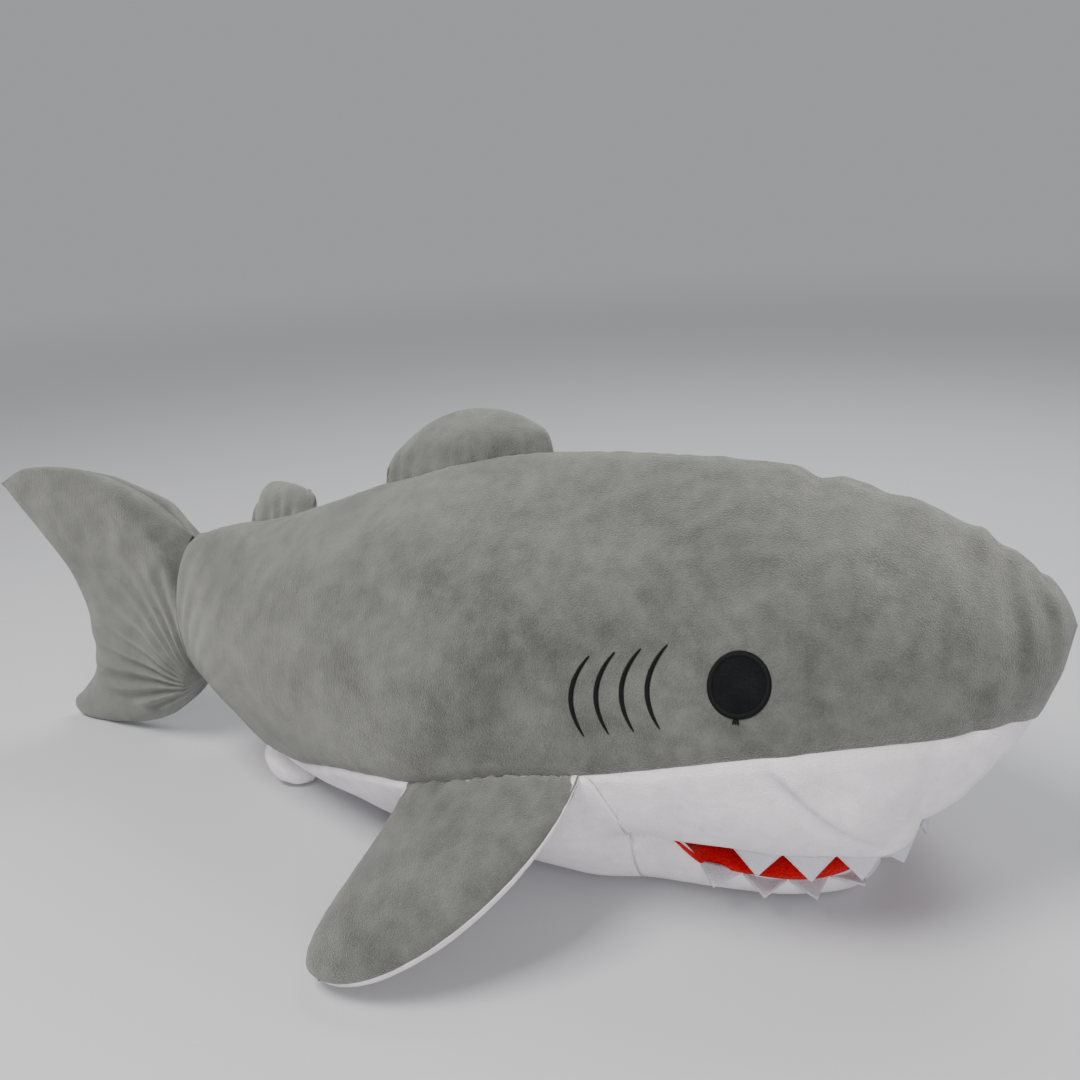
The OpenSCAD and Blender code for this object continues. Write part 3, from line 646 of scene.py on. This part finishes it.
teeth = dict(length=0.0165, lowerLength=0.0165, thick=0.0016,
             upperStops=[0.39, 0.566, 0.741, 0.888, 0.985, 1.0],
             lowerStops=[0.3, 0.48, 0.66, 0.82, 0.95, 1.0])

def feltTooth(bm, start, end, tip, thickness, bow):
    normal = (end - start).cross(tip - start).normalized()
    part = bmesh.new()
    bmesh.ops.create_grid(part, x_segments=6, y_segments=8, size=1)
    for v in part.verts:
        a, b = (v.co.x + 1) / 2, (v.co.y + 1) / 2
        left, rightEdge = start.lerp(tip, b), end.lerp(tip, b)
        co = left.lerp(rightEdge, a)
        v.co = co + normal * bow * math.sin(math.pi * a) * (1 - b) + normal * bow * 0.8 * b * b
    bmesh.ops.remove_doubles(part, verts=part.verts, dist=1e-5)
    bmesh.ops.recalc_face_normals(part, faces=part.faces)
    bmesh.ops.solidify(part, geom=part.faces, thickness=thickness)
    bmesh.ops.recalc_face_normals(part, faces=part.faces)
    mesh = bpy.data.meshes.new("tooth")
    part.to_mesh(mesh)
    part.free()
    bm.from_mesh(mesh)
    bpy.data.meshes.remove(mesh)

def upperLip(s, side):
    x = mix(mouthX, lipX, s)
    return Vector((x + 0.003 * ramp(s, 0.85, 1), side * (roofHalfAt(x) + 0.0015), lipZ - 0.001))

def lowerLip(s, side):
    x = mix(jaw["backX"], jaw["frontX"], s)
    y, z = jawRim(x)
    return Vector((x, side * (y - 0.001), z))

def buildTeeth():
    rng = random.Random(7)
    upper = bmesh.new()
    lower = bmesh.new()
    for side in (-1, 1):
        for a, b in zip(teeth["upperStops"], teeth["upperStops"][1:]):
            start, end = upperLip(a, side), upperLip(b, side)
            middle = (start + end) / 2
            out = Vector((middle.x - 0.12, middle.y, 0)).normalized()
            tip = middle + Vector((0, 0, -teeth["length"])) + out * 0.004 * rng.uniform(0.3, 1)
            feltTooth(upper, start, end, tip, teeth["thick"], 0.0015 * rng.uniform(-1, 1))
        for a, b in zip(teeth["lowerStops"], teeth["lowerStops"][1:]):
            start, end = lowerLip(a, side), lowerLip(b, side)
            middle = (start + end) / 2
            out = Vector((middle.x - 0.13, middle.y * 1.3, 0)).normalized()
            tip = middle + out * teeth["lowerLength"] + Vector((0, 0, -0.002 + 0.003 * rng.uniform(-1, 1)))
            feltTooth(lower, start, end, tip, teeth["thick"], 0.002 * rng.uniform(-1, 1))
    for bm, name, bodyName in ((upper, "upperTeeth", "trunk"), (lower, "lowerTeeth", "lower_jaw")):
        piece = finishMesh(bm, name, 1e-7)
        dress(piece, whiteFelt)
        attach(piece, bodyName)
        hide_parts("upper_teeth" if bodyName == "trunk" else "lower_teeth")

buildTeeth()
print("plush shark: teeth cut")

# Eyes and gills

trim = dict(stitch=0.0036, thread=0.00055, lift=0.0006)

def sideSpot(x, z, side, lift):
    zm, top = widestZ(x), math.radians(90 * body["ridge"])
    rise = math.asin(max(-1, min(1, (z - zm) / (crestZ(x) - zm) * math.sin(top)))) / body["ridge"]
    y = halfWidth(x) * math.cos(rise)
    point = puffed(x, y, z, 0.05, side)
    normal = Vector((0, point.y, (point.z - zm) * 0.8)).normalized()
    return point + normal * lift, normal

def threadStitch(bm, start, end, normal, radius):
    part = bmesh.ops.create_uvsphere(bm, u_segments=6, v_segments=5, radius=1)
    along = end - start
    length = along.length
    ahead = along.normalized()
    across = ahead.cross(normal).normalized()
    up = across.cross(ahead).normalized()
    middle = (start + end) / 2
    for v in part["verts"]:
        a, b, c = v.co.z, v.co.x, v.co.y
        height = c * radius * 1.2 - a * a * radius
        v.co = middle + ahead * a * length * 0.5 + across * b * radius + up * height

def satinRow(bm, line, width, side, leanShare=0.25):
    for i in range(1, len(line)):
        (x0, z0, w0), (x1, z1, w1) = line[i - 1], line[i]
        dx, dz = x1 - x0, z1 - z0
        length = math.hypot(dx, dz)
        nx, nz = -dz / length, dx / length
        shift = leanShare * length
        outX, outZ = nx * width / 2 * w0, nz * width / 2 * w0
        a, normal = sideSpot(x0 + outX + dx * shift, z0 + outZ + dz * shift, side, trim["lift"])
        b, normal = sideSpot(x0 - nx * width / 2 * w0, z0 - nz * width / 2 * w0, side, trim["lift"])
        threadStitch(bm, a, b, normal, trim["thread"])

def buildEye(sideName):
    side = sides[sideName]
    low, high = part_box(f"{sideName}_eye_rim")
    centreX, centreZ = (low.x + high.x) / 2, (low.z + high.z) / 2
    radius = (high.x - low.x) / 2
    inner = radius - trim["stitch"] * 0.6
    patch = bmesh.new()
    bmesh.ops.create_circle(patch, cap_ends=True, cap_tris=True, segments=64, radius=1)
    spokes = [e for e in patch.edges if not e.is_boundary]
    bmesh.ops.subdivide_edges(patch, edges=spokes, cuts=5, use_grid_fill=True)
    for v in patch.verts:
        r = math.hypot(v.co.x, v.co.y)
        x, z = centreX + v.co.x * inner, centreZ + v.co.y * inner
        lift = 0.0002 + 0.0011 * (1 - r ** 6) + 0.0003 * noise.noise(Vector((x, z, 0)) * 90)
        v.co = sideSpot(x, z, side, lift)[0]
    piece = finishMesh(patch, f"eyePatch_{sideName}", 1e-7)
    faceOutward(piece, lambda c: Vector((0, side, 0)))
    dress(piece, eyeCloth)
    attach(piece, "trunk")
    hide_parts(f"{sideName}_eye")
    ring = bmesh.new()
    middle = radius - trim["stitch"] / 2
    count = 170
    turns = [2 * math.pi * i / count for i in range(count + 1)]
    line = [(centreX + middle * math.cos(t), centreZ + middle * math.sin(t), 1) for t in turns]
    satinRow(ring, line, trim["stitch"], side)
    # a thread's end is knotted at the bottom of the ring
    for k in range(3):
        foot, normal = sideSpot(centreX - 0.001 + 0.001 * k, centreZ - radius + 0.0005, side, 0.001)
        threadStitch(ring, foot, foot + Vector((0.0006 * (k - 1), 0, -0.004)), normal, trim["thread"])
    rim = finishMesh(ring, f"eyeRim_{sideName}", 1e-8)
    dress(rim, blackThread)
    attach(rim, "trunk")
    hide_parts(f"{sideName}_eye_rim")

gills = dict(count=4, pitch=0.0235, stepZ=0.0135, bow=0.009, height=0.044, x=0.588, z=0.588)

def buildGills(sideName):
    side = sides[sideName]
    bm = bmesh.new()
    steps = 58
    for k in range(gills["count"]):
        baseX = tailX + gills["x"] * bodyLength + k * gills["pitch"] * bodyLength
        baseZ = bodyHeight * (gills["z"] + k * gills["stepZ"])
        line = []
        for i in range(steps + 1):
            s = 2 * i / steps - 1
            x, z = baseX + gills["bow"] * (s * s - 0.5), baseZ + s * gills["height"] / 2
            line.append((x, z, math.sqrt(1.04 - s * s)))
        satinRow(bm, line, trim["stitch"] * 0.92, side)
    piece = finishMesh(bm, f"gillStitches_{sideName}", 1e-8)
    dress(piece, blackThread)
    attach(piece, "trunk")
    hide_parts(f"{sideName}_gill_stitches")

for sideName in sides:
    buildEye(sideName)
    buildGills(sideName)
print("plush shark: eyes and gills stitched")

# Fins

padLine = [[0, 0.2], [0.2, 0.72], [0.45, 1], [0.75, 0.82], [0.92, 0.5], [1, 0]]

def finFrame(backEnd, frontEnd, rough, up):
    along = (frontEnd - backEnd).normalized()
    out = (rough - along * rough.dot(along)).normalized()
    across = along.cross(out)
    if across.dot(up) <= 0:
        across = -across
    return (backEnd + frontEnd) / 2, along, out, across, (frontEnd - backEnd).length / 2

def finEdges(half, reach, front, back):
    return ([(p[0] * half, p[1] * reach) for p in front], [(p[0] * half, p[1] * reach) for p in back])

def finFace(name, fin, face, material, nodes, rows=60, cols=60):
    origin, along, out, across, half = fin["frame"]
    front, back = finEdges(half, fin["reach"], fin["front"], fin["back"])
    wrap = fin.get("wrap", 0) * (1 if face > 0 else -1)
    def place(u, v):
        b = 1 - (1 - u) ** 1.5
        a = v
        p, q = bezierAt(list(front), b), bezierAt(list(back), b)
        width = math.hypot(p[0] - q[0], p[1] - q[1])
        # the seam can sit a little way over the front edge
        turn = math.pi * (wrap + (1 - wrap) * a)
        s = mix(p[0], q[0], (1 - math.cos(turn)) / 2)
        r = mix(p[1], q[1], (1 - math.cos(turn)) / 2)
        h = fin["half"] * max(0, curveAt(padLine, b)) * math.sin(turn)
        seamGap = min(a, 1 - a) * width
        spot = Vector((s, r, face * 0.01))
        h += 0.0016 * noise.noise(spot * 28) * smooth(seamGap / 0.02) * smooth(abs(h) / 0.004)
        rootGap = max(0, r)
        pleat = math.sin(2 * math.pi * (s / 0.013 + 0.7 * noise.noise(spot * 35)))
        h += 0.0014 * pleat * math.exp(-rootGap / 0.014) * math.sin(turn)
        ripple = math.sin(2 * math.pi * (r / 0.012 + noise.noise(spot * 40)))
        h += 0.0005 * ripple * math.exp(-seamGap / 0.008) * smooth(seamGap / 0.003)
        # the stitched seam sits in its own furrow
        h -= 0.0012 * math.exp(-((seamGap - 0.0012) / 0.0016) ** 2) * smooth(r / 0.01)
        point = origin + along * s + out * r + across * face * h
        sink = math.exp(-(r / 0.009) ** 2) if r > 0 else 1
        return point + fin["sink"] * sink
    piece = sheetGrid(name, rows, cols, place)
    faceOutward(piece, lambda c: across * face)
    thicken(piece, 0.0018)
    dress(piece, material)
    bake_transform(piece)
    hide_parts(*nodes)
    return piece

finGap = 0.004

def pectoralFin(sideName):
    side = sides[sideName]
    ends = []
    for place in (0.398, 0.59):
        x = tailX + place * bodyLength
        y, z = rearSection(x, seamAngle(x))
        ends.append(Vector((x, side * (y + finGap), z)))
    droop = math.radians(33)
    rough = Vector((0, side * math.cos(droop), -math.sin(droop)))
    fin = dict(frame=finFrame(ends[0], ends[1], rough, Vector((0, 0, 1))), reach=0.124, half=0.015,
               front=[(1, 0), (1, 0.42), (-0.3, 1.12), (-1.22, 1)],
               back=[(-1, 0), (-0.95, 0.35), (-1.9, 0.92), (-1.22, 1)],
               sink=Vector((0, -side * 0.006, 0)), wrap=0.025)
    finFace(f"pectoralUpper_{sideName}", fin, 1, greyPlush,
            [f"{sideName}_pectoral_upper", f"{sideName}_pectoral_filling"])
    finFace(f"pectoralUnder_{sideName}", fin, -1, whitePlush,
            [f"{sideName}_pectoral_under"])

def crestFin(name, backShare, frontShare, reach, half, tip, roundTip, nodeName):
    places = [tailX + s * bodyLength for s in (backShare, frontShare)]
    ends = [Vector((x, 0, crestZ(x) + finGap)) for x in places]
    # the crest bulges above the straight root, so the root is raised to clear it
    rear, ahead = ends
    bulge = max(crestZ(mix(rear.x, ahead.x, i / 20)) + finGap - mix(rear.z, ahead.z, i / 20) for i in range(21))
    for end in ends:
        end.z += bulge
    lean = math.radians(75)
    rough = Vector((0, math.sin(lean), math.cos(lean)))
    fin = dict(frame=finFrame(ends[0], ends[1], rough, Vector((0, -1, 0))), reach=reach, half=half,
               front=[(1, 0), (0.75, 0.5), (tip + roundTip, 1), (tip, 1)],
               back=[(-1, 0), (-1.02, 0.6), (tip - roundTip, 1), (tip, 1)],
               sink=Vector((0, 0, -0.010 - bulge)))
    finFace(f"{name}_right", fin, 1, greyPlush,
            [f"{nodeName}_right_face", f"{nodeName}_filling"])
    finFace(f"{name}_left", fin, -1, greyPlush, [f"{nodeName}_left_face"])

def pelvicFin(sideName):
    side = sides[sideName]
    low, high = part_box(f"{sideName}_pelvic_upper")
    inner = low.y if side > 0 else high.y
    ends = []
    for s in (0.115, 0.178):
        x = tailX + s * bodyLength
        z = max(0, bodyHeight * curveAt(body["bottom"], s)) - finGap - 0.003
        ends.append(Vector((x, inner, z)))
    fin = dict(frame=finFrame(ends[0], ends[1], Vector((0, side, -0.1)), Vector((0, 0, 1))),
               reach=0.027, half=0.0075,
               front=[(1, 0), (1.15, 0.5), (0.8, 1), (0, 1)], back=[(-1, 0), (-1.3, 0.5), (-0.9, 1), (0, 1)],
               sink=Vector((0, 0, 0.007)))
    finFace(f"pelvicUpper_{sideName}", fin, 1, whitePlush,
            [f"{sideName}_pelvic_upper", f"{sideName}_pelvic_filling"], 34, 34)
    finFace(f"pelvicUnder_{sideName}", fin, -1, whitePlush,
            [f"{sideName}_pelvic_under"], 34, 34)

for sideName in sides:
    pectoralFin(sideName)
    pelvicFin(sideName)
crestFin("dorsalFin", 0.286, 0.498, 0.058, 0.015, -0.32, 0.62, "dorsal_fin")
crestFin("secondDorsalFin", 0.092, 0.188, 0.042, 0.0105, -1, 0.6, "second_dorsal")
print("plush shark: fins sewn on")

# Tail

tailLow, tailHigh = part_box("tail_fin_right_face")
tail = dict(
    reach=tailX - tailLow.x, height=tailHigh.z, half=-tailLow.y,
    # [share along the edge, share of the reach behind the seam, share of the height]
    top=[(0, 0, 0.79), (0.15, 0.07, 0.845), (0.3, 0.19, 0.915), (0.5, 0.38, 0.975), (0.7, 0.60, 1.0),
         (0.87, 0.85, 0.985),
         (1, 1, 0.925)],
    bottom=[(0, 0, 0.285), (0.15, 0.055, 0.23), (0.35, 0.15, 0.145), (0.6, 0.33, 0.05), (0.8, 0.6, 0.006),
            (0.93, 0.79, 0.006),
            (1, 0.84, 0.035)],
    back=[(0, 0.84, 0.035), (0.08, 0.825, 0.075), (0.17, 0.76, 0.12), (0.34, 0.65, 0.235), (0.47, 0.63, 0.38),
          (0.6, 0.66, 0.53), (0.72, 0.72, 0.65),
          (0.86, 0.85, 0.775), (1, 1, 0.925)])

def edgeAt(line, u):
    return Vector((curveAt([(p[0], p[1]) for p in line], u), curveAt([(p[0], p[2]) for p in line], u)))

def tailFace(sideName):
    side = sides[sideName]
    def place(u, v):
        u = 1 - (1 - u) ** 1.15
        rootY, rootZ = rearSection(tailX, mix(100, -90, v))
        rootZ = min(rootZ, crestZ(tailX))
        root = Vector((0, rootZ / tail["height"]))
        top, bottom, back = edgeAt(tail["top"], u), edgeAt(tail["bottom"], u), edgeAt(tail["back"], v)
        cornerA, cornerB = edgeAt(tail["bottom"], 0), edgeAt(tail["top"], 0)
        cornerC, cornerD = edgeAt(tail["back"], 0), edgeAt(tail["back"], 1)
        flat = (bottom * (1 - v) + top * v + root * (1 - u) + back * u
                - cornerA * (1 - u) * (1 - v) - cornerB * (1 - u) * v
                - cornerC * u * (1 - v) - cornerD * u * v)
        belly = (4 * v * (1 - v)) ** 0.34
        plumpness = mix(rootY, tail["half"] * 0.86 * belly, smooth(u / 0.3)) * (1 - u ** 1.6) ** 0.5
        x, z = tailX - flat.x * tail["reach"], flat.y * tail["height"]
        spot = Vector((x, side * 0.02, z))
        rootGap = tailX - x
        edgeGap = min(v, 1 - v) * 0.12 * (1 - 0.5 * u)
        lift = rootFolds(x - tailX, z) * (0.5 + 0.9 * ramp(z, 0.15, 0.06)) * ramp(edgeGap, 0.0, 0.02)
        lift += 0.004 * noise.noise(spot * 15) * smooth(u / 0.2)
        lift += 0.0022 * noise.noise(spot * 38 + Vector((4, 2, 8))) * smooth(u / 0.2)
        lift -= 0.003 * math.exp(-(rootGap / 0.006) ** 2)
        plumpness = max(0, plumpness + lift * smooth(plumpness / 0.006))
        return Vector((x, side * plumpness, z))
    piece = sheetGrid(f"tailFace_{sideName}", 110, 110, place)
    faceOutward(piece, lambda c: Vector((0, side, 0)))
    thicken(piece, 0.0018)
    dress(piece, greyPlush)
    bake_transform(piece)
    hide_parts(f"tail_fin_{sideName}_face", *(["tail_fin_filling"] if sideName == "right" else []))

for sideName in sides:
    tailFace(sideName)
print("plush shark: tail sewn on")
